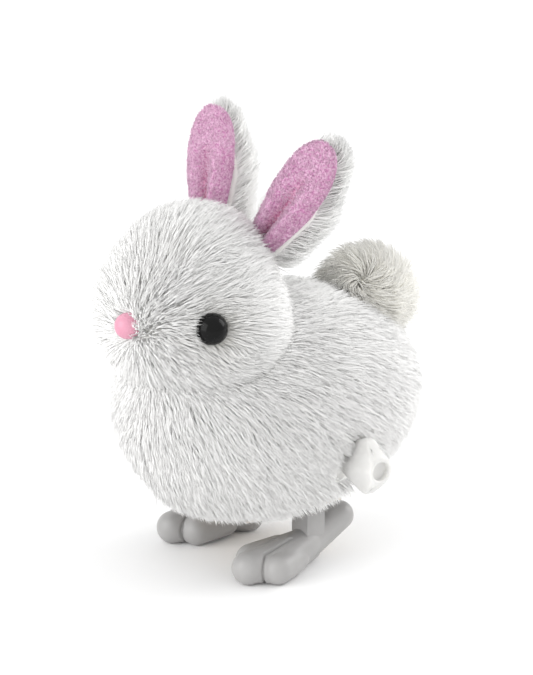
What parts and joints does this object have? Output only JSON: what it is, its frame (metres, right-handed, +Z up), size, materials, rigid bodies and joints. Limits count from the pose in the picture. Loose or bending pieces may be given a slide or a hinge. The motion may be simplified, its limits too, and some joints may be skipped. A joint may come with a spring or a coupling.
{
  "type": "wind-up hopping plush rabbit",
  "caption": "Small plush rabbit whose clockwork motor, wound by a side knob, swings two big plastic feet so that it hops.",
  "frame": {"origin": "on the floor, midway between the two feet, under the middle of the body", "axes": "-Y is the way the toy faces, +X is the toy's left side with the winding knob, +Z is up"},
  "size_m": [0.0533, 0.0677, 0.0844],
  "materials": {
    "plush_fur": "long-pile white plush",
    "belly_cloth": "plain woven cloth",
    "stuffing": "loose fibre",
    "ear_velour": "short-pile pink velour",
    "tail_fur": "long cream pile, swirled",
    "eye_black": "glossy",
    "nose_pink": "satin gloss",
    "motor_plastic": "moulded",
    "knob_plastic": "milky, moulded",
    "foot_plastic": "satin, moulded",
    "gear_plastic": "moulded",
    "steel": "drawn",
    "spring_steel": "blued"
  },
  "bodies": {
    "root": {"cover_left": "plush_fur", "cover_right": "plush_fur", "belly_patch": "belly_cloth", "head_stuffing": "stuffing", "body_stuffing": "stuffing", "left_ear_back": "plush_fur", "right_ear_back": "plush_fur", "left_ear_lining": "ear_velour", "right_ear_lining": "ear_velour", "tail_pompom": "tail_fur", "left_eye": "eye_black", "right_eye": "eye_black", "nose": "nose_pink", "case_left": "motor_plastic", "case_right": "motor_plastic", "mainspring": "spring_steel", "return_spring": "spring_steel"},
    "winder": {"winding_knob": "knob_plastic", "winding_arbor": "steel", "great_wheel": "gear_plastic"},
    "second_gear": {"second_wheel": "gear_plastic", "second_axle": "steel"},
    "cam_gear": {"cam_wheel": "gear_plastic", "cam_axle": "steel"},
    "legs": {"leg_shaft": "steel", "follower_arm": "gear_plastic", "left_leg": "foot_plastic", "right_leg": "foot_plastic", "left_foot": "foot_plastic", "right_foot": "foot_plastic"}
  },
  "joints": [
    {"name": "knob_turn", "type": "hinge", "parent": "root", "child": "winder", "pos_m": [0, 0.0053, 0.023], "axis": [1, 0, 0], "continuous": true},
    {"name": "second_turn", "type": "hinge", "parent": "root", "child": "second_gear", "pos_m": [0, -0.00258, 0.02439], "axis": [1, 0, 0], "continuous": true},
    {"name": "cam_turn", "type": "hinge", "parent": "root", "child": "cam_gear", "pos_m": [0, -0.0067, 0.01949], "axis": [1, 0, 0], "continuous": true},
    {"name": "leg_swing", "type": "hinge", "parent": "root", "child": "legs", "pos_m": [0, 0.0016, 0.0145], "axis": [1, 0, 0], "range_deg": [-15, 0], "stiffness_Nm_per_rad": 0.02, "springref_deg": 8.59, "deforming": ["return_spring"]}
  ],
  "couplings": [
    {"joint": "second_turn", "follows": "knob_turn", "ratio": -4},
    {"joint": "cam_turn", "follows": "knob_turn", "ratio": 12}
  ]
}
